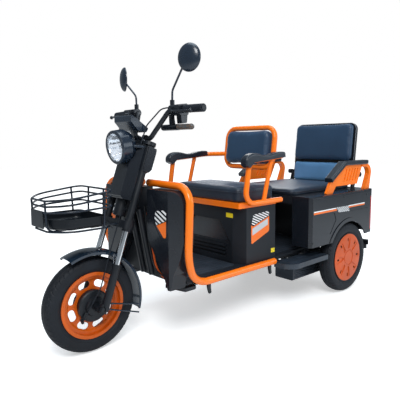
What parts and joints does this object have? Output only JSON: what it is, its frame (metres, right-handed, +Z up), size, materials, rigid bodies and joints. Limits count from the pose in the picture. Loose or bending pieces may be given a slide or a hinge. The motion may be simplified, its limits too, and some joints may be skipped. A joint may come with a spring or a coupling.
{
  "type": "electric tricycle",
  "caption": "Small three-wheeled electric tricycle with a driver's seat on a battery box, a two-seat rear bench with backrest, a wire basket and orange guard hoops.",
  "frame": {"origin": "on the ground, in the middle of the overall length and width", "axes": "+X forward, +Y to the vehicle's left, +Z up"},
  "size_m": [1.9993, 0.754, 1.291],
  "materials": {
    "tyre_rubber": "matte",
    "orange_paint": "gloss",
    "silver_rim": "satin",
    "red_orange_cover": "gloss",
    "black_paint": "satin",
    "chrome": "polished",
    "black_plastic": "gloss",
    "black_rubber": "matte",
    "leatherette": "satin",
    "clear_lens": "gloss",
    "red_lens": "gloss",
    "silver_case": "satin"
  },
  "bodies": {
    "chassis": {"arm_pads": "black_rubber", "armrests": "orange_paint", "back_hoop": "orange_paint", "back_pad": "leatherette", "backrest_brackets": "black_paint", "backrest_pads": "leatherette", "backrest_shell": "black_plastic", "battery_block": "black_plastic", "cables": "black_plastic", "controller": "silver_case", "floor_mats": "black_rubber", "floor_pan": "black_plastic", "frame_crossmembers": "black_paint", "frame_head": "black_paint", "frame_rails": "black_paint", "frame_rear_mount": "black_paint", "front_bulkhead": "black_plastic", "hoops": "orange_paint", "leg_shields": "black_plastic", "rear_armrests": "orange_paint", "rear_axle": "black_paint", "rear_bumper": "black_paint", "rear_cushion": "leatherette", "rear_deck": "black_plastic", "rear_panel": "black_plastic", "rear_shocks": "black_paint", "rear_sides": "black_plastic", "seat_box": "black_plastic", "seat_frame": "orange_paint", "step_boards": "black_plastic", "tail_lamps": "red_lens"},
    "steering": {"fork_sliders": "black_paint", "fork_stanchions": "chrome", "fork_yokes": "black_paint", "front_brake": "black_paint", "handlebar": "black_paint", "grips": "black_rubber", "hand_controls": "black_plastic", "mirrors": "black_plastic", "indicators": "black_plastic", "dash": "black_plastic", "headlight_shell": "black_plastic", "lamp_lenses": "clear_lens", "shroud": "black_plastic", "glove_box": "black_plastic", "basket": "black_paint", "basket_tray": "black_plastic", "front_fender": "black_plastic", "front_cables": "black_rubber"},
    "front_wheel": {"front_tyre": "tyre_rubber", "front_rim": "orange_paint", "front_hub": "black_paint"},
    "rear_left_wheel": {"rear_left_tyre": "tyre_rubber", "rear_left_rim": "silver_rim", "rear_left_cover": "red_orange_cover"},
    "rear_right_wheel": {"rear_right_tyre": "tyre_rubber", "rear_right_rim": "silver_rim", "rear_right_cover": "red_orange_cover"},
    "driver_seat": {"front_cushion": "leatherette"}
  },
  "joints": [
    {"name": "steer", "type": "hinge", "parent": "chassis", "child": "steering", "pos_m": [0.61125, 0, 0.64566], "axis": [-0.342, 0, 0.9397], "range_deg": [-35, 35]},
    {"name": "front_wheel_spin", "type": "hinge", "parent": "steering", "child": "front_wheel", "pos_m": [0.795, 0, 0.204], "axis": [0, 1, 0], "continuous": true},
    {"name": "rear_left_spin", "type": "hinge", "parent": "chassis", "child": "rear_left_wheel", "pos_m": [-0.665, 0.332, 0.204], "axis": [0, 1, 0], "continuous": true},
    {"name": "rear_right_spin", "type": "hinge", "parent": "chassis", "child": "rear_right_wheel", "pos_m": [-0.665, -0.332, 0.204], "axis": [0, 1, 0], "continuous": true},
    {"name": "driver_seat_lid", "type": "hinge", "parent": "chassis", "child": "driver_seat", "pos_m": [0.143, 0, 0.596], "axis": [0, 1, 0], "range_deg": [0, 70]}
  ]
}
